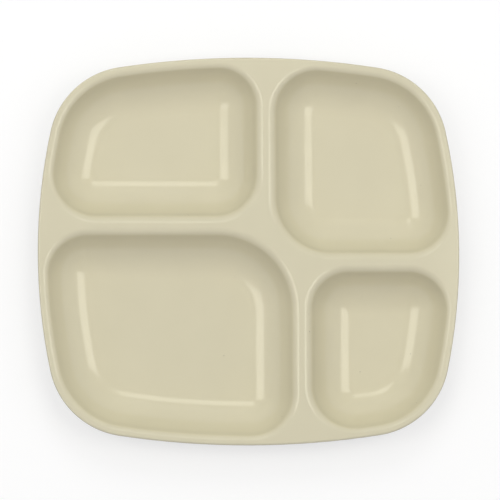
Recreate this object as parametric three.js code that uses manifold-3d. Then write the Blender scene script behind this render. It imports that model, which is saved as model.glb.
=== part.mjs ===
// Compartment tray: a glossy moulded meal tray with a flat rim and four dished basins in a pinwheel layout.
// Millimetres, +Z up, back is +Y. The origin is under the tray's middle, on the surface that it stands on.
// The tray is one moulding. It is split where its features end, and the regions meet face to face.
import * as THREE from "three";
import { toCreasedNormals } from "three/addons/utils/BufferGeometryUtils.js";
import Module from "manifold-3d";

const wasm = await Module();
wasm.setup();

// Whole tray
const LENGTH = 210; // X, over the bowed left and right sides
const WIDTH = 194; // Y, over the bowed back and front sides
const HEIGHT = 20; // standing rings to the rim's top
const END_BOW = 289; // radius of the left and right sides
const SIDE_BOW = 427; // radius of the back and front sides
const OUTER_CORNER = 41.3; // radius of the outline's corners
const WALL = 2.4; // thickness of the moulding

// Rim and dividers: flat tops at one height
const RIM_FLAT = 2.2; // outer edge to the start of a basin's lip
const RIM_TOP_EDGE = 1; // rounding of the rim's outer edge above
const RIM_LOW_EDGE = 0.5; // rounding of the rim's outer edge below
const LAND = 2; // flat top of a divider, from lip to lip
const BACK_DIVIDER_X = 8.75; // middle of each divider's flat top
const FRONT_DIVIDER_X = 26.3;
const LEFT_DIVIDER_Y = 12.6;
const RIGHT_DIVIDER_Y = -5.9;

// Corner radii of the basins where their lips start, beside the corner that follows the outline's own
const BACK_LEFT_CORNERS = { backRight: 22, frontLeft: 24.5, frontRight: 24.5 };
const BACK_RIGHT_CORNERS = { backLeft: 24, frontLeft: 31.5, frontRight: 23 };
const FRONT_LEFT_CORNERS = { backRight: 41, backLeft: 23, frontRight: 24 };
const FRONT_RIGHT_CORNERS = { backRight: 22, backLeft: 22.5, frontLeft: 24.5 };

// Wall of a basin, from its lip down to its standing ring
const RIM_UNDERCUT = 0.8; // radius under the lip beside the rim; the lip itself is a wall thicker
const DIVIDER_UNDERCUT = 2.2; // the same beside a divider
const DRAFT = 24; // degrees from upright
const FLOOR_ROUND = 20.4; // radius from wall to floor
const LEAST_CORNER = 1; // radius left in a corner of the floor
const LEAST_RUN = 0.5; // plain run left between two rounds
const FOOT_HEIGHT = 0.8;
const FOOT_SETBACK = 0.6; // floor's edge to the standing ring
const FOOT_WIDTH = 1.6; // across its flat underside
const FOOT_FLANK = 0.3; // run of each sloping flank

// Facets
const CORNER_STEPS = 8;
const BOW_STEPS = 6;
const LIP_STEPS = 5;
const UNDERCUT_STEPS = 2;
const FLOOR_ROUND_STEPS = 6;
const UNDERSIDE_ROUND_STEPS = 4;
const EDGE_STEPS = 3;
const CUT_MARGIN = 1; // how far a cutting block runs past what it cuts
const CREASE = Math.PI / 6; // faces that meet at a wider angle keep a sharp edge
const SOLVER_ROUNDS = 12; // Newton steps to a corner's centre, far more than it needs
const FIT_ROUNDS = 8; // passes that limit corners by their walls

const DRAFT_ANGLE = THREE.MathUtils.degToRad(DRAFT);
const BASIN_DEPTH = HEIGHT - FOOT_HEIGHT - WALL;
const RIM_LIP = RIM_UNDERCUT + WALL;
const DIVIDER_LIP = DIVIDER_UNDERCUT + WALL;
const WIDEST_LIP = Math.max(RIM_LIP, DIVIDER_LIP);
const ROUND_SHARE = 1 - Math.sin(DRAFT_ANGLE); // of a round's radius, its height between flat and wall
const ROUND_ROOM = (BASIN_DEPTH - LEAST_RUN) / ROUND_SHARE - WIDEST_LIP; // left under a lip by its wall
const FLOOR_RADIUS = Math.min(FLOOR_ROUND, ROUND_ROOM);
const ROUND_CENTRE = BASIN_DEPTH - FLOOR_RADIUS; // depth of the floor round's centre

const RIGHT = new THREE.Vector2(1, 0);
const BACK = new THREE.Vector2(0, 1);
const LEFT = new THREE.Vector2(-1, 0);
const FRONT = new THREE.Vector2(0, -1);

// Numbers from one end to the other, both included.
function spread(from, to, steps) {
  return Array.from({ length: steps + 1 }, (_, i) => from + ((to - from) * i) / steps);
}

// A side of an outline facing one way: straight beside a divider, with that divider's lip.
function straightSide(facing, reach) {
  return {
    facing,
    reach,
    lip: DIVIDER_LIP,
    normal: () => facing,
    distance: (point) => facing.dot(point) - reach,
    run: (from, to) => facing.cross(to.clone().sub(from)),
    between: () => [],
  };
}

// A side bowed outwards about a centre on the tray's axis, with the rim's lip.
function bowedSide(facing, reach, bow) {
  const centre = facing.clone().multiplyScalar(reach - bow);
  const normal = (point) => point.clone().sub(centre).normalize();
  function between(from, to) {
    const radius = from.distanceTo(centre);
    const angles = turning(normal(from), normal(to), BOW_STEPS).slice(1, -1);
    return angles.map((angle) => onCircle(centre, radius, angle));
  }
  const distance = (point) => point.distanceTo(centre) - bow;
  const run = (from, to) => bow * Math.asin(normal(from).cross(normal(to)));
  return { facing, reach, lip: RIM_LIP, normal, distance, run, between };
}

function onCircle(centre, radius, angle) {
  return new THREE.Vector2(Math.cos(angle), Math.sin(angle)).multiplyScalar(radius).add(centre);
}

// Angles from one direction to another, turning less than half a turn.
function turning(from, to, steps) {
  const start = from.angle();
  return spread(start, start + Math.atan2(from.cross(to), from.dot(to)), steps);
}

// The point at given distances inside two sides that meet, by Newton's method from their flat crossing.
function cornerCentre(a, b, inA, inB) {
  const point = a.facing.clone().multiplyScalar(a.reach - inA);
  point.addScaledVector(b.facing, b.reach - inB);
  for (let round = 0; round < SOLVER_ROUNDS; round++) {
    const na = a.normal(point);
    const nb = b.normal(point);
    const ea = a.distance(point) + inA;
    const eb = b.distance(point) + inB;
    const det = na.cross(nb);
    point.x -= (ea * nb.y - eb * na.y) / det;
    point.y -= (eb * na.x - ea * nb.x) / det;
  }
  return point;
}

// The rounded corners of an outline: corner i joins side i to the next one.
// A corner's radius shrinks by the mean inset of its two sides, down to the least radius.
// It is limited by its walls too: of two corners that would meet on a side, the tighter one gives way.
function roundedCorners(sides, radii, insets) {
  const after = (i) => (i + 1) % sides.length;
  const meanInset = (i) => (insets[i] + insets[after(i)]) / 2;
  const fitted = radii.map((radius, i) => Math.max(radius - meanInset(i), LEAST_CORNER));
  const corner = (side, i) => {
    const [radius, next] = [fitted[i], sides[after(i)]];
    const centre = cornerCentre(side, next, insets[i] + radius, insets[after(i)] + radius);
    return { centre, radius, from: side.normal(centre), to: next.normal(centre) };
  };
  for (let round = 0; round < FIT_ROUNDS; round++) {
    const corners = sides.map(corner);
    corners.forEach((start, i) => {
      const end = corners[after(i)];
      const lack = LEAST_RUN - sides[after(i)].run(start.centre, end.centre);
      const tighter = start.radius < end.radius ? i : after(i);
      const wider = start.radius < end.radius ? after(i) : i;
      const giving = fitted[tighter] > LEAST_CORNER ? tighter : wider;
      fitted[giving] = Math.max(fitted[giving] - Math.max(lack, 0), LEAST_CORNER);
    });
  }
  return sides.map(corner);
}

// A closed outline, anticlockwise, with each side set in by its own inset.
function outline(sides, radii, insets) {
  const arcs = roundedCorners(sides, radii, insets).map(({ centre, radius, from, to }) =>
    turning(from, to, CORNER_STEPS).map((angle) => onCircle(centre, radius, angle)),
  );
  return arcs.flatMap((arc, i) => {
    const next = (i + 1) % arcs.length;
    return [...arc, ...sides[next].between(arc.at(-1), arcs[next][0])];
  });
}

// A closed body through rings of equal count, each given as { points, z }, capped flat at both ends.
// The rings run so that the body lies on their inner side as they go up.
function loft(rings) {
  const count = rings[0].points.length;
  const positions = rings.flatMap(({ points, z }) => points.flatMap(({ x, y }) => [x, y, z]));
  const faces = [];
  for (let ring = 0; ring + 1 < rings.length; ring++) {
    for (let i = 0; i < count; i++) {
      const low = ring * count + i;
      const lowNext = ring * count + ((i + 1) % count);
      faces.push(low, lowNext, lowNext + count);
      faces.push(low, lowNext + count, low + count);
    }
  }
  const last = count * (rings.length - 1);
  for (const [a, b, c] of THREE.ShapeUtils.triangulateShape(rings[0].points, [])) {
    faces.push(a, c, b);
  }
  for (const [a, b, c] of THREE.ShapeUtils.triangulateShape(rings.at(-1).points, [])) {
    faces.push(last + a, last + b, last + c);
  }
  const geometry = new THREE.BufferGeometry();
  geometry.setAttribute("position", new THREE.Float32BufferAttribute(positions, 3));
  return geometry.setIndex(faces);
}

// Solids for cutting, and back to a geometry
function solidOf(geometry) {
  const vertProperties = geometry.getAttribute("position").array;
  const triVerts = new Uint32Array(geometry.index.array);
  return new wasm.Manifold(new wasm.Mesh({ numProp: 3, vertProperties, triVerts }));
}

function geometryOf(solid) {
  const { vertProperties, triVerts } = solid.getMesh();
  const geometry = new THREE.BufferGeometry();
  geometry.setAttribute("position", new THREE.BufferAttribute(vertProperties, 3));
  return geometry.setIndex(new THREE.BufferAttribute(triVerts, 1));
}

// A block with an upright wall round an outline, through the whole thickness of the rim.
function cutter(points) {
  const low = HEIGHT - WALL - CUT_MARGIN;
  return solidOf(loft([low, HEIGHT + CUT_MARGIN].map((z) => ({ points, z }))));
}

function blockCutter(left, right, front, back) {
  const corners = [
    [left, front],
    [right, front],
    [right, back],
    [left, back],
  ];
  return cutter(corners.map(([x, y]) => new THREE.Vector2(x, y)));
}

// The tray's own sides, set in from its edge.
function traySides(inset) {
  return {
    right: bowedSide(RIGHT, LENGTH / 2 - inset, END_BOW - inset),
    back: bowedSide(BACK, WIDTH / 2 - inset, SIDE_BOW - inset),
    left: bowedSide(LEFT, LENGTH / 2 - inset, END_BOW - inset),
    front: bowedSide(FRONT, WIDTH / 2 - inset, SIDE_BOW - inset),
  };
}

// A basin's outline where its lip starts: dividers take the place of two of the tray's sides.
function basin(name, dividers, corners) {
  const { right, back, left, front } = { ...traySides(RIM_FLAT), ...dividers };
  const outer = OUTER_CORNER - RIM_FLAT;
  const { backRight = outer, backLeft = outer, frontLeft = outer, frontRight = outer } = corners;
  return { name, sides: [right, back, left, front], radii: [backRight, backLeft, frontLeft, frontRight] };
}

const backLeftBasin = basin(
  "back_left_basin",
  {
    right: straightSide(RIGHT, BACK_DIVIDER_X - LAND / 2),
    front: straightSide(FRONT, -LEFT_DIVIDER_Y - LAND / 2),
  },
  BACK_LEFT_CORNERS,
);
const backRightBasin = basin(
  "back_right_basin",
  {
    left: straightSide(LEFT, -BACK_DIVIDER_X - LAND / 2),
    front: straightSide(FRONT, -RIGHT_DIVIDER_Y - LAND / 2),
  },
  BACK_RIGHT_CORNERS,
);
const frontLeftBasin = basin(
  "front_left_basin",
  {
    right: straightSide(RIGHT, FRONT_DIVIDER_X - LAND / 2),
    back: straightSide(BACK, LEFT_DIVIDER_Y - LAND / 2),
  },
  FRONT_LEFT_CORNERS,
);
const frontRightBasin = basin(
  "front_right_basin",
  {
    left: straightSide(LEFT, -FRONT_DIVIDER_X - LAND / 2),
    back: straightSide(BACK, RIGHT_DIVIDER_Y - LAND / 2),
  },
  FRONT_RIGHT_CORNERS,
);
const basins = [backLeftBasin, backRightBasin, frontLeftBasin, frontRightBasin];

// The wall's section: a lip that rolls over from the flat top, a drafted wall and a round into the floor.
// Both faces share the centres of its arcs: behind is 0 on the food side and WALL on the underside.
function floorEdge(lip) {
  const rounds = lip + FLOOR_RADIUS;
  const wallDrop = BASIN_DEPTH - rounds * ROUND_SHARE;
  return rounds * Math.cos(DRAFT_ANGLE) + wallDrop * Math.tan(DRAFT_ANGLE);
}

// How far a face of the wall stands in from the lip's start at a depth below the flat top.
function wallInset(lip, depth, behind) {
  const lipRadius = lip - behind;
  const lipEnd = lip - lipRadius * Math.sin(DRAFT_ANGLE);
  const roundRadius = FLOOR_RADIUS + behind;
  if (depth <= lipEnd) {
    return Math.sqrt(Math.max(lipRadius ** 2 - (lip - depth) ** 2, 0));
  }
  if (depth >= ROUND_CENTRE + roundRadius * Math.sin(DRAFT_ANGLE)) {
    return floorEdge(lip) - Math.sqrt(Math.max(roundRadius ** 2 - (depth - ROUND_CENTRE) ** 2, 0));
  }
  return lipRadius * Math.cos(DRAFT_ANGLE) + (depth - lipEnd) * Math.tan(DRAFT_ANGLE);
}

// Depths at which a face of the wall gets a ring, from its top to the floor.
function wallDepths(behind, lipSteps, roundSteps) {
  const lipAngles = spread(0, Math.PI / 2 - DRAFT_ANGLE, lipSteps);
  const roundAngles = spread(DRAFT_ANGLE, Math.PI / 2, roundSteps);
  return [
    ...lipAngles.map((angle) => WIDEST_LIP - (WIDEST_LIP - behind) * Math.cos(angle)),
    ...roundAngles.map((angle) => ROUND_CENTRE + (FLOOR_RADIUS + behind) * Math.sin(angle)),
  ];
}

// A ring of a basin, with each side's inset given by a function of that side's lip.
function basinRing({ sides, radii }, z, insetFor) {
  return { points: outline(sides, radii, sides.map(({ lip }) => insetFor(lip))), z };
}

function wallRing(shape, depth, behind) {
  return basinRing(shape, HEIGHT - depth, (lip) => wallInset(lip, depth, behind));
}

// The standing ring under the floor, from its inner edge to its outer one.
function footRings(shape) {
  const run = (steps) => (lip) => floorEdge(lip) + FOOT_SETBACK + steps;
  return [
    basinRing(shape, FOOT_HEIGHT, run(2 * FOOT_FLANK + FOOT_WIDTH)),
    basinRing(shape, 0, run(FOOT_FLANK + FOOT_WIDTH)),
    basinRing(shape, 0, run(FOOT_FLANK)),
    basinRing(shape, FOOT_HEIGHT, run(0)),
  ];
}

function basinBody(shape) {
  const underside = wallDepths(WALL, UNDERCUT_STEPS, UNDERSIDE_ROUND_STEPS).reverse();
  const foodSide = wallDepths(0, LIP_STEPS, FLOOR_ROUND_STEPS);
  return loft([
    ...footRings(shape),
    ...underside.map((depth) => wallRing(shape, depth, WALL)),
    ...foodSide.map((depth) => wallRing(shape, depth, 0)),
  ]);
}

// The flat top before it is parted: a plate with a rounded outer edge.
function topPlate() {
  const { right, back, left, front } = traySides(0);
  const sides = [right, back, left, front];
  const radii = sides.map(() => OUTER_CORNER);
  const ring = (inset, z) => ({ points: outline(sides, radii, sides.map(() => inset)), z });
  const quarter = spread(0, Math.PI / 2, EDGE_STEPS);
  const lowCentre = HEIGHT - WALL + RIM_LOW_EDGE;
  const topCentre = HEIGHT - RIM_TOP_EDGE;
  return solidOf(
    loft([
      ...quarter.map((angle) =>
        ring(RIM_LOW_EDGE * (1 - Math.sin(angle)), lowCentre - RIM_LOW_EDGE * Math.cos(angle)),
      ),
      ...quarter.map((angle) =>
        ring(RIM_TOP_EDGE * (1 - Math.cos(angle)), topCentre + RIM_TOP_EDGE * Math.sin(angle)),
      ),
    ]),
  );
}

// Where a basin's corner arcs end: the dividers are straight between these points.
function cornerCentres({ sides, radii }) {
  const [atBackRight, atBackLeft, atFrontLeft, atFrontRight] = roundedCorners(sides, radii, [0, 0, 0, 0]);
  return {
    backRight: atBackRight.centre,
    backLeft: atBackLeft.centre,
    frontLeft: atFrontLeft.centre,
    frontRight: atFrontRight.centre,
  };
}

// The flat top parted into the rim, four straight dividers and the land where they cross.
function topPieces() {
  const openings = basins.map((shape) => cutter(wallRing(shape, 0, 0).points));
  const top = openings.reduce((plate, opening) => plate.subtract(opening), topPlate());
  const [atBackLeft, atBackRight, atFrontLeft, atFrontRight] = basins.map(cornerCentres);
  const crossing = {
    left: Math.min(atBackLeft.frontRight.x, atFrontLeft.backRight.x),
    right: Math.max(atBackRight.frontLeft.x, atFrontRight.backLeft.x),
    front: Math.min(atFrontLeft.backRight.y, atFrontRight.backLeft.y),
    back: Math.max(atBackLeft.frontRight.y, atBackRight.frontLeft.y),
  };
  const root = {
    left: Math.max(atBackLeft.frontLeft.x, atFrontLeft.backLeft.x),
    right: Math.min(atBackRight.frontRight.x, atFrontRight.backRight.x),
    front: Math.max(atFrontLeft.frontRight.y, atFrontRight.frontLeft.y),
    back: Math.min(atBackLeft.backRight.y, atBackRight.backLeft.y),
  };
  const blocks = {
    back_divider: blockCutter(BACK_DIVIDER_X - LAND, BACK_DIVIDER_X + LAND, crossing.back, root.back),
    front_divider: blockCutter(FRONT_DIVIDER_X - LAND, FRONT_DIVIDER_X + LAND, root.front, crossing.front),
    left_divider: blockCutter(root.left, crossing.left, LEFT_DIVIDER_Y - LAND, LEFT_DIVIDER_Y + LAND),
    right_divider: blockCutter(crossing.right, root.right, RIGHT_DIVIDER_Y - LAND, RIGHT_DIVIDER_Y + LAND),
    divider_crossing: blockCutter(crossing.left, crossing.right, crossing.front, crossing.back),
  };
  const pieces = Object.entries(blocks).map(([name, block]) => [name, geometryOf(top.intersect(block))]);
  const rim = Object.values(blocks).reduce((rest, block) => rest.subtract(block), top);
  return [["rim", geometryOf(rim)], ...pieces];
}

// Sand-coloured glossy plastic, one moulding all over.
function sandPlastic() {
  return new THREE.MeshStandardMaterial({ color: 0xd5ceb2, roughness: 0.25, metalness: 0 });
}

const basinPieces = basins.map((shape) => [shape.name, basinBody(shape)]);
const tray = new THREE.Group();
for (const [name, geometry] of [...topPieces(), ...basinPieces]) {
  const mesh = new THREE.Mesh(toCreasedNormals(geometry, CREASE), sandPlastic());
  mesh.name = name;
  tray.add(mesh);
}

export default tray;
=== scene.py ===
"""Compartment tray: a glossy sand-coloured moulded meal tray with four dished basins, seen from above."""
import math

import bmesh
import bpy
import numpy as np
from mathutils import Matrix, Vector


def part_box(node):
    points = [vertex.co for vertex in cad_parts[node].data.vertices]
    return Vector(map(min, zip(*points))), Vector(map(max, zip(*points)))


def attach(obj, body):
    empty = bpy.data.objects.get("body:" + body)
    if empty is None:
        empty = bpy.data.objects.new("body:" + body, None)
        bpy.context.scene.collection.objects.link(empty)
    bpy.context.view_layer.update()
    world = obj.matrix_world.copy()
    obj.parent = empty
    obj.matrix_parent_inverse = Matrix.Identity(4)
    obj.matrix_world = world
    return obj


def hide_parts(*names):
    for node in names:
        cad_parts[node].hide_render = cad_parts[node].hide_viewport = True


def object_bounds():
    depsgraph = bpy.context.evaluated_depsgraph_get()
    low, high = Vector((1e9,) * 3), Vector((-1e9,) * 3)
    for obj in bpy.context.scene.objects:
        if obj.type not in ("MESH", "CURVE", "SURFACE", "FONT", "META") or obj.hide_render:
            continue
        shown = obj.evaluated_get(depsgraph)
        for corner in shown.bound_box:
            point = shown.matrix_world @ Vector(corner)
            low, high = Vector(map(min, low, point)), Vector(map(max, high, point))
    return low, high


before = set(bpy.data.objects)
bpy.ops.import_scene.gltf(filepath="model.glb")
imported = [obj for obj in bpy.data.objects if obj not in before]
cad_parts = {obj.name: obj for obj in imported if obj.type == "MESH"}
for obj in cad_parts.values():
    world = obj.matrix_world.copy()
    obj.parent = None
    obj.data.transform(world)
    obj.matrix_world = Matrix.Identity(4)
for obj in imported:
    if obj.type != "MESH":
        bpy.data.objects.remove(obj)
CAD_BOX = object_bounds()

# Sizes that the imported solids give, in metres. Back is +Y, left is -X.
MM = 0.001
HALF_LENGTH = CAD_BOX[1].x
HALF_WIDTH = CAD_BOX[1].y
HEIGHT = CAD_BOX[1].z
RIM_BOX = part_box("rim")
WALL = RIM_BOX[1].z - RIM_BOX[0].z
BACK_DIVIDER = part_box("back_divider")
FRONT_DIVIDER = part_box("front_divider")
LEFT_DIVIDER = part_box("left_divider")
RIGHT_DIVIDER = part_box("right_divider")

# Outline: bowed sides with rounded corners
END_BOW = 289 * MM
SIDE_BOW = 427 * MM
OUTER_CORNER = 41.3 * MM
RIM_FLAT = 2.2 * MM
RIM_TOP_EDGE = 1 * MM
RIM_LOW_EDGE = 0.5 * MM

# Wall of a basin: lip, drafted wall, round into the floor, standing ring
RIM_LIP = 0.8 * MM + WALL
DIVIDER_LIP = 2.2 * MM + WALL
DRAFT = math.radians(24)
FLOOR_ROUND = 20.4 * MM
LEAST_CORNER = 1 * MM
FOOT_HEIGHT = 0.8 * MM
FOOT_SETBACK = 0.6 * MM
FOOT_WIDTH = 1.6 * MM
FOOT_FLANK = 0.3 * MM
BASIN_DEPTH = HEIGHT - FOOT_HEIGHT - WALL
ROUND_CENTRE = BASIN_DEPTH - FLOOR_ROUND

# Steps of the fine meshes
CORNER_STEPS = 24
SIDE_STEPS = 16
LIP_STEPS = 16
UNDERCUT_STEPS = 6
FLOOR_ROUND_STEPS = 28
UNDERSIDE_ROUND_STEPS = 16
EDGE_STEPS = 8
HOLD = 0.05 * MM  # flat margin that keeps shading level where a round runs out into a flat
SAME_POINT = 0.005 * MM  # neighbours nearer than this are one point
SHARP = math.radians(30)
SOLVER_ROUNDS = 12
SIDES = 4  # of the tray and of each basin

# Plastic: linear colours, texture scales per metre, depths in metres
SAND_PALE = (0.672, 0.624, 0.451)
SAND_DEEP = (0.658, 0.610, 0.439)
SPECK = (0.21, 0.18, 0.13)
NOISE_SPAN = (0.3, 0.7)  # the part of a noise's range that is put to use
MOTTLING_SCALE = 45
MOTTLING_DETAIL = 4
SPECK_SCALE = 90
SPECK_REACH = 0.0225  # in cells
SPECK_CORE = 0.5  # share of a speck that is fully dark
GLOSS_SCALE = 120
GLOSS_DETAIL = 3
ROUGHNESS = (0.09, 0.14)
SKIN_SCALE = 700
SKIN_DETAIL = 2
SKIN_STRENGTH = 0.15
SKIN_DEPTH = 0.02 * MM
PLASTIC_IOR = 1.5

# Room, lamps and camera
FLOOR_REACH = 4
FLOOR_DIFFUSE = 0.42
FLOOR_GLOW = 0.6
WHITE = (1, 1, 1)
ROOM_LIGHT = (0.41, 0.41, 0.46)  # from all round, a little cool
ROOM_BACK = (0.59, 0.61, 0.59)  # growing to this straight behind
WATTS_PER_RADIANCE = 4  # for one square metre of soft lamp
SOFTBOX_TINT = (1, 0.98, 0.84)  # a little warm
SOFTBOXES = {  # middle, size across and outwards, radiance
    "left_softbox": (Vector((-0.568, 0, 1.388)), 0.58, 0.57, 2.3),
    "right_softbox": (Vector((0.513, 0, 1.41)), 0.58, 0.55, 2.3),
    "back_softbox": (Vector((-0.03, 0.5, 1.402)), 0.28, 0.326, 2.15),
}
PANEL_SIZE = 0.3
PANELS = {  # middle and radiance of dull panels near the tray, which leave no highlights
    "left_panel": (Vector((-0.5, 0, 0.6)), 1.3),
    "right_panel": (Vector((0.5, 0, 0.6)), 1.3),
    "back_panel": (Vector((0, 0.5, 0.6)), 2.6),
}
CAMERA_DISTANCE = 1.8
FRONT_LEAN = math.radians(5.78)  # how far the camera stands off the vertical, to the front
LEFT_LEAN = math.radians(2.02)  # and to the left
CAMERA_TURN = math.radians(-0.244)  # about its own line of sight
VIEW_CENTRE = Vector((0.5 * MM, 0.15 * MM, HEIGHT))
VIEW_HALF = 124.4 * MM  # half of what the picture takes in at the rim

RIGHT, BACK, LEFT, FRONT = (np.array(v, float) for v in ((1, 0), (0, 1), (-1, 0), (0, -1)))


def spread(start, end, steps):
    return np.linspace(start, end, steps + 1)


def on_circle(centre, radius, angles):
    return centre + radius * np.stack([np.cos(angles), np.sin(angles)], axis=1)


def turning(start, end, steps):
    """Angles from one direction to another, turning less than half a turn."""
    first = math.atan2(start[1], start[0])
    turn = math.atan2(start[0] * end[1] - start[1] * end[0], start @ end)
    return spread(first, first + turn, steps)


class Straight:
    """A side of an outline beside a divider."""

    lip = DIVIDER_LIP

    def __init__(self, facing, reach):
        self.facing, self.reach = facing, reach

    def normal(self, point):
        return self.facing

    def distance(self, point):
        return self.facing @ point - self.reach

    def between(self, start, end):
        return start + np.outer(spread(0, 1, SIDE_STEPS)[1:-1], end - start)


class Bowed:
    """A side of an outline along the rim, bowed about a centre on the tray's axis."""

    lip = RIM_LIP

    def __init__(self, facing, reach, bow):
        self.facing, self.reach, self.bow = facing, reach, bow
        self.centre = facing * (reach - bow)

    def normal(self, point):
        away = point - self.centre
        return away / np.linalg.norm(away)

    def distance(self, point):
        return np.linalg.norm(point - self.centre) - self.bow

    def between(self, start, end):
        angles = turning(self.normal(start), self.normal(end), SIDE_STEPS)[1:-1]
        return on_circle(self.centre, np.linalg.norm(start - self.centre), angles)


def corner_centre(a, b, in_a, in_b):
    """The point at given distances inside two sides that meet."""
    point = a.facing * (a.reach - in_a) + b.facing * (b.reach - in_b)
    for _ in range(SOLVER_ROUNDS):
        normals = np.array([a.normal(point), b.normal(point)])
        point = point - np.linalg.solve(normals, [a.distance(point) + in_a, b.distance(point) + in_b])
    return point


def corner_arcs(sides, radii, insets):
    """The corner arcs of an outline, anticlockwise: arc i joins side i to the next one."""
    arcs = []
    for i, side in enumerate(sides):
        following = (i + 1) % SIDES
        radius = max(radii[i] - (insets[i] + insets[following]) / 2, LEAST_CORNER)
        centre = corner_centre(side, sides[following], insets[i] + radius, insets[following] + radius)
        angles = turning(side.normal(centre), sides[following].normal(centre), CORNER_STEPS)
        arcs.append(on_circle(centre, radius, angles))
    return arcs


def outline(sides, radii, insets):
    """A closed outline with each side set in by its own inset."""
    arcs = corner_arcs(sides, radii, insets)
    parts = []
    for i, arc in enumerate(arcs):
        following = (i + 1) % SIDES
        parts += [arc, sides[following].between(arc[-1], arcs[following][0])]
    return np.concatenate(parts)


def tray_sides(inset):
    return [
        Bowed(RIGHT, HALF_LENGTH - inset, END_BOW - inset),
        Bowed(BACK, HALF_WIDTH - inset, SIDE_BOW - inset),
        Bowed(LEFT, HALF_LENGTH - inset, END_BOW - inset),
        Bowed(FRONT, HALF_WIDTH - inset, SIDE_BOW - inset),
    ]


class Basin:
    """A basin's outline where its lip starts. Sides run right, back, left, front; corner i follows side i.
    The outer corner follows the tray's own outline, and the dividers lie opposite to it."""

    def __init__(self, outer, dividers, radii):
        self.outer = outer
        self.sides = tray_sides(RIM_FLAT)
        for i, side in dividers.items():
            self.sides[i] = side
        self.radii = [(OUTER_CORNER - RIM_FLAT) if r is None else r * MM for r in radii]

    def ring(self, z, inset_for):
        points = outline(self.sides, self.radii, [inset_for(side.lip) for side in self.sides])
        return [(x, y, z) for x, y in points]

    def top_arcs(self):
        return corner_arcs(self.sides, self.radii, [0] * SIDES)


BASINS = {
    "back_right_basin": Basin(
        0,
        {2: Straight(LEFT, -BACK_DIVIDER[1].x), 3: Straight(FRONT, -RIGHT_DIVIDER[1].y)},
        (None, 24, 31.5, 23),
    ),
    "back_left_basin": Basin(
        1,
        {0: Straight(RIGHT, BACK_DIVIDER[0].x), 3: Straight(FRONT, -LEFT_DIVIDER[1].y)},
        (22, None, 24.5, 24.5),
    ),
    "front_left_basin": Basin(
        2,
        {0: Straight(RIGHT, FRONT_DIVIDER[0].x), 1: Straight(BACK, LEFT_DIVIDER[0].y)},
        (41, 23, None, 24),
    ),
    "front_right_basin": Basin(
        3,
        {1: Straight(BACK, RIGHT_DIVIDER[0].y), 2: Straight(LEFT, -FRONT_DIVIDER[1].x)},
        (22, 22.5, 24.5, None),
    ),
}


def floor_edge(lip):
    """How far the flat floor stands in from the lip's start."""
    rounds = lip + FLOOR_ROUND
    drop = BASIN_DEPTH - rounds * (1 - math.sin(DRAFT))
    return rounds * math.cos(DRAFT) + drop * math.tan(DRAFT)


def wall_inset(lip, depth, behind):
    """How far a face of the wall stands in from the lip's start: behind is 0 inside, WALL underneath."""
    lip_radius = lip - behind
    lip_end = lip - lip_radius * math.sin(DRAFT)
    round_radius = FLOOR_ROUND + behind
    if depth <= lip_end:
        return math.sqrt(max(lip_radius**2 - (lip - depth) ** 2, 0))
    if depth >= ROUND_CENTRE + round_radius * math.sin(DRAFT):
        return floor_edge(lip) - math.sqrt(max(round_radius**2 - (depth - ROUND_CENTRE) ** 2, 0))
    return lip_radius * math.cos(DRAFT) + (depth - lip_end) * math.tan(DRAFT)


def wall_depths(behind, lip_steps, round_steps):
    lip_angles = spread(0, math.pi / 2 - DRAFT, lip_steps)
    round_angles = spread(DRAFT, math.pi / 2, round_steps)
    lip_depths = DIVIDER_LIP - (DIVIDER_LIP - behind) * np.cos(lip_angles)
    return [*lip_depths, *(ROUND_CENTRE + (FLOOR_ROUND + behind) * np.sin(round_angles))]


def basin_rings(basin):
    """Rings of a basin from the standing ring, up the underside, over the lip and down to the floor."""

    def foot(z, run):
        return basin.ring(z, lambda lip: floor_edge(lip) + FOOT_SETBACK + run)

    def wall(depth, behind):
        return basin.ring(HEIGHT - depth, lambda lip: wall_inset(lip, depth, behind))

    underside = wall_depths(WALL, UNDERCUT_STEPS, UNDERSIDE_ROUND_STEPS)[::-1]
    food_side = wall_depths(0, LIP_STEPS, FLOOR_ROUND_STEPS)
    return [
        foot(FOOT_HEIGHT, 2 * FOOT_FLANK + FOOT_WIDTH),
        foot(0, FOOT_FLANK + FOOT_WIDTH),
        foot(0, FOOT_FLANK),
        foot(FOOT_HEIGHT, 0),
        *[wall(depth, WALL) for depth in underside],
        wall(0, 0),
        basin.ring(HEIGHT, lambda lip: HOLD),
        *[wall(depth, 0) for depth in food_side[1:]],
        basin.ring(HEIGHT - BASIN_DEPTH, lambda lip: floor_edge(lip) + HOLD),
    ]


def add_ring(bm, points):
    return [bm.verts.new(p) for p in points]


def join_rings(bm, low, high):
    """Faces between two rings: outside faces look outwards where an anticlockwise ring goes up."""
    for i in range(len(low)):
        j = (i + 1) % len(low)
        bm.faces.new((low[i], low[j], high[j], high[i]))


def ring_edges(bm, ring):
    return [bm.edges.get((ring[i - 1], ring[i])) for i in range(len(ring))]


def basin_mesh(basin):
    bm = bmesh.new()
    rings = [add_ring(bm, points) for points in basin_rings(basin)]
    for low, high in zip(rings, rings[1:]):
        join_rings(bm, low, high)
    bm.faces.new(rings[0][::-1])
    bm.faces.new(rings[-1])
    return bm


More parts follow.
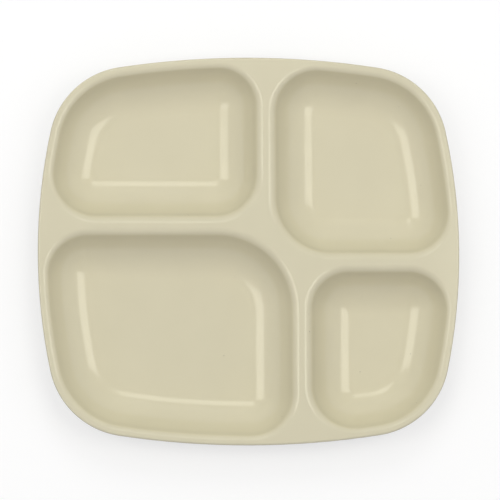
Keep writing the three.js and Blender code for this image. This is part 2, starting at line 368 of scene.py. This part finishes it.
def rim_hole():
    """The rim's inner edge: each basin's outer sides, with a straight cut across each divider's root."""
    cuts = [RIGHT_DIVIDER[1].x, BACK_DIVIDER[1].y, LEFT_DIVIDER[0].x, FRONT_DIVIDER[0].y]
    parts = []
    for basin in BASINS.values():
        k, arcs = basin.outer, basin.top_arcs()
        before, after = arcs[k - 1], arcs[(k + 1) % SIDES]
        start, end = before[0].copy(), after[-1].copy()
        start[k % 2] = cuts[k]
        end[(k + 1) % 2] = cuts[(k + 1) % SIDES]
        first_bow = basin.sides[k].between(before[-1], arcs[k][0])
        second_bow = basin.sides[(k + 1) % SIDES].between(arcs[k][-1], after[0])
        parts += [[start], before, first_bow, arcs[k], second_bow, after, [end]]
    return distinct(np.concatenate(parts))


def crossing_edge():
    """The land where the dividers meet: each basin's inner corner, and a cut across each divider."""
    cuts = [RIGHT_DIVIDER[0].x, BACK_DIVIDER[0].y, LEFT_DIVIDER[1].x, FRONT_DIVIDER[1].y]
    parts = []
    for basin in BASINS.values():
        k = basin.outer
        arc = basin.top_arcs()[(k + 2) % SIDES]
        start, end = arc[0].copy(), arc[-1].copy()
        start[(k + 1) % 2] = cuts[(k + 1) % SIDES]
        end[k % 2] = cuts[k]
        parts.append(np.concatenate([[start], arc, [end]])[::-1])
    return distinct(np.concatenate(parts))


def distinct(points):
    """Points of a closed edge without repeats of a neighbour."""
    apart = np.linalg.norm(points - np.roll(points, 1, axis=0), axis=1) > SAME_POINT
    return points[apart]


def plate_walls(bm, points):
    """An upright wall along a closed edge through the rim's thickness."""
    low = add_ring(bm, [(x, y, HEIGHT - WALL) for x, y in points])
    high = add_ring(bm, [(x, y, HEIGHT) for x, y in points])
    join_rings(bm, low, high)
    return low, high


def rim_mesh():
    bm = bmesh.new()
    sides = tray_sides(0)
    quarter = spread(0, math.pi / 2, EDGE_STEPS)
    profile = [(RIM_LOW_EDGE + HOLD, HEIGHT - WALL)]
    low_centre, top_centre = HEIGHT - WALL + RIM_LOW_EDGE, HEIGHT - RIM_TOP_EDGE
    for a in quarter:
        profile.append((RIM_LOW_EDGE * (1 - math.sin(a)), low_centre - RIM_LOW_EDGE * math.cos(a)))
    for a in quarter:
        profile.append((RIM_TOP_EDGE * (1 - math.cos(a)), top_centre + RIM_TOP_EDGE * math.sin(a)))
    profile.append((RIM_TOP_EDGE + HOLD, HEIGHT))
    rings = []
    for inset, z in profile:
        points = outline(sides, [OUTER_CORNER] * SIDES, [inset] * SIDES)
        rings.append(add_ring(bm, [(x, y, z) for x, y in points]))
    for low, high in zip(rings, rings[1:]):
        join_rings(bm, low, high)
    hole_low, hole_high = plate_walls(bm, rim_hole()[::-1])
    for outer, inner in ((rings[0], hole_low), (rings[-1], hole_high)):
        edges = ring_edges(bm, outer) + ring_edges(bm, inner)
        bmesh.ops.triangle_fill(bm, use_beauty=True, edges=edges)
    return bm


def crossing_mesh():
    bm = bmesh.new()
    low, high = plate_walls(bm, crossing_edge())
    bm.faces.new(low[::-1])
    bm.faces.new(high)
    return bm


def add_piece(name, bm, node, material):
    """Makes a piece from a mesh: it stands for one solid and rides on the tray's only body."""
    bmesh.ops.recalc_face_normals(bm, faces=bm.faces)
    mesh = bpy.data.meshes.new(name)
    bm.to_mesh(mesh)
    bm.free()
    mesh.shade_smooth()
    mesh.set_sharp_from_angle(angle=SHARP)
    mesh.materials.append(material)
    piece = bpy.data.objects.new(name, mesh)
    bpy.context.scene.collection.objects.link(piece)
    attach(piece, "root")
    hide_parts(node)


class Tree:
    """A node tree with short calls to add and join nodes."""

    def __init__(self, owner):
        owner.use_nodes = True
        self.nodes = owner.node_tree.nodes
        self.links = owner.node_tree.links
        self.nodes.clear()

    def add(self, kind, inputs, **settings):
        node = self.nodes.new(kind)
        for key, value in settings.items():
            setattr(node, key, value)
        for key, value in inputs.items():
            if isinstance(value, bpy.types.NodeSocket):
                self.links.new(value, node.inputs[key])
            else:
                node.inputs[key].default_value = value
        return node.outputs

    def remap(self, value, low, high, start, end):
        """Carries a value from one range to another, held at both ends."""
        inputs = {"Value": value, "From Min": low, "From Max": high, "To Min": start, "To Max": end}
        return self.add("ShaderNodeMapRange", inputs)["Result"]

    def mix_colours(self, factor, first, second):
        """Sockets 6 and 7 of a mix node are its two colours, and result 2 is the mixed one."""
        return self.add("ShaderNodeMix", {0: factor, 6: first, 7: second}, data_type="RGBA")[2]

    def math(self, operation, first, second):
        return self.add("ShaderNodeMath", {0: first, 1: second}, operation=operation)["Value"]


def sand_plastic():
    """Glossy moulded plastic: faint flow mottling, a few dark specks, a slightly uneven gloss and skin."""
    material = bpy.data.materials.new("sand_plastic")
    tree = Tree(material)
    place = tree.add("ShaderNodeTexCoord", {})["Object"]

    def noise(scale, detail):
        return tree.add("ShaderNodeTexNoise", {"Vector": place, "Scale": scale, "Detail": detail})["Fac"]

    mottling = tree.remap(noise(MOTTLING_SCALE, MOTTLING_DETAIL), *NOISE_SPAN, 0, 1)
    sand = tree.mix_colours(mottling, (*SAND_DEEP, 1), (*SAND_PALE, 1))
    cells = tree.add("ShaderNodeTexVoronoi", {"Vector": place, "Scale": SPECK_SCALE})
    specks = tree.remap(cells["Distance"], SPECK_REACH * SPECK_CORE, SPECK_REACH, 1, 0)
    colour = tree.mix_colours(specks, sand, (*SPECK, 1))
    roughness = tree.remap(noise(GLOSS_SCALE, GLOSS_DETAIL), *NOISE_SPAN, *ROUGHNESS)
    skin = noise(SKIN_SCALE, SKIN_DETAIL)
    bump = tree.add("ShaderNodeBump", {"Height": skin, "Strength": SKIN_STRENGTH, "Distance": SKIN_DEPTH})
    inputs = {"Base Color": colour, "Roughness": roughness, "Normal": bump["Normal"], "IOR": PLASTIC_IOR}
    shader = tree.add("ShaderNodeBsdfPrincipled", inputs)
    tree.add("ShaderNodeOutputMaterial", {"Surface": shader["BSDF"]})
    return material


def seen_directly(tree):
    """1 for rays that show a surface to the camera, straight or by gloss or glass, and 0 for light rays."""
    path = tree.add("ShaderNodeLightPath", {})
    straight_or_gloss = tree.math("MAXIMUM", path["Is Camera Ray"], path["Is Glossy Ray"])
    return tree.math("MAXIMUM", straight_or_gloss, path["Is Transmission Ray"])


def white_floor():
    """A plain white floor under the tray: part of its white is its own, so that the shadow stays light."""
    material = bpy.data.materials.new("white_floor")
    tree = Tree(material)
    paper = tree.add("ShaderNodeBsdfDiffuse", {"Color": (FLOOR_DIFFUSE, FLOOR_DIFFUSE, FLOOR_DIFFUSE, 1)})
    glow = tree.math("MULTIPLY", seen_directly(tree), FLOOR_GLOW)
    own_light = tree.add("ShaderNodeEmission", {"Color": (*WHITE, 1), "Strength": glow})
    both = tree.add("ShaderNodeAddShader", {0: paper["BSDF"], 1: own_light["Emission"]})
    tree.add("ShaderNodeOutputMaterial", {"Surface": both["Shader"]})
    bm = bmesh.new()
    bmesh.ops.create_grid(bm, x_segments=1, y_segments=1, size=FLOOR_REACH)
    mesh = bpy.data.meshes.new("floor")
    bm.to_mesh(mesh)
    bm.free()
    mesh.materials.append(material)
    floor = bpy.data.objects.new("floor", mesh)
    bpy.context.scene.collection.objects.link(floor)


def white_world():
    """A white room: plain white where it is seen, and a soft cool light on the tray, most from the back."""
    world = bpy.data.worlds.new("white_room")
    bpy.context.scene.world = world
    tree = Tree(world)
    way = tree.add("ShaderNodeTexCoord", {})["Generated"]
    parts = tree.add("ShaderNodeSeparateXYZ", {"Vector": way})
    light = tree.mix_colours(parts["Y"], (*ROOM_LIGHT, 1), (*ROOM_BACK, 1))
    colour = tree.mix_colours(seen_directly(tree), light, (*WHITE, 1))
    room = tree.add("ShaderNodeBackground", {"Color": colour})
    tree.add("ShaderNodeOutputWorld", {"Surface": room["Background"]})


def turned_axes(across, away):
    """Axes of a lamp or camera that looks back along a direction."""
    return Matrix((across, away.cross(across), away)).transposed().to_4x4()


def soft_lamp(name, tint, middle, width, depth, radiance):
    """A soft lamp above the tray and facing its middle."""
    data = bpy.data.lights.new(name, "AREA")
    data.shape = "RECTANGLE"
    data.size, data.size_y = width, depth
    data.energy = radiance * width * depth * WATTS_PER_RADIANCE
    data.color = tint
    lamp = bpy.data.objects.new(name, data)
    away = middle.normalized()
    across = Vector((0, 0, 1)).cross(away).normalized()
    lamp.matrix_world = Matrix.Translation(middle) @ turned_axes(across, away)
    lamp.visible_camera = False
    bpy.context.scene.collection.objects.link(lamp)
    return lamp


def overhead_camera():
    """A long lens above the tray, a little to the front and the left, with the tray's back at the top."""
    data = bpy.data.cameras.new("camera")
    data.angle = 2 * math.atan(VIEW_HALF / CAMERA_DISTANCE)
    camera = bpy.data.objects.new("camera", data)
    left, front = math.sin(LEFT_LEAN), math.sin(FRONT_LEAN)
    away = Vector((-left, -front, math.sqrt(1 - left**2 - front**2)))
    across = Vector((0, 1, 0)).cross(away).normalized()
    place = Matrix.Translation(VIEW_CENTRE + CAMERA_DISTANCE * away)
    camera.matrix_world = place @ turned_axes(across, away) @ Matrix.Rotation(CAMERA_TURN, 4, "Z")
    bpy.context.scene.collection.objects.link(camera)
    bpy.context.scene.camera = camera


PLASTIC = sand_plastic()
for basin_name, shape in BASINS.items():
    add_piece("moulded_" + basin_name, basin_mesh(shape), basin_name, PLASTIC)
add_piece("moulded_rim", rim_mesh(), "rim", PLASTIC)
add_piece("moulded_divider_crossing", crossing_mesh(), "divider_crossing", PLASTIC)
for divider_name in ("back_divider", "front_divider", "left_divider", "right_divider"):
    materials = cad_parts[divider_name].data.materials
    materials.clear()
    materials.append(PLASTIC)

white_floor()
white_world()
for lamp_name, settings in SOFTBOXES.items():
    soft_lamp(lamp_name, SOFTBOX_TINT, *settings)
for lamp_name, (place, strength) in PANELS.items():
    soft_lamp(lamp_name, WHITE, place, PANEL_SIZE, PANEL_SIZE, strength).visible_glossy = False
overhead_camera()
bpy.context.scene.view_settings.view_transform = "Standard"
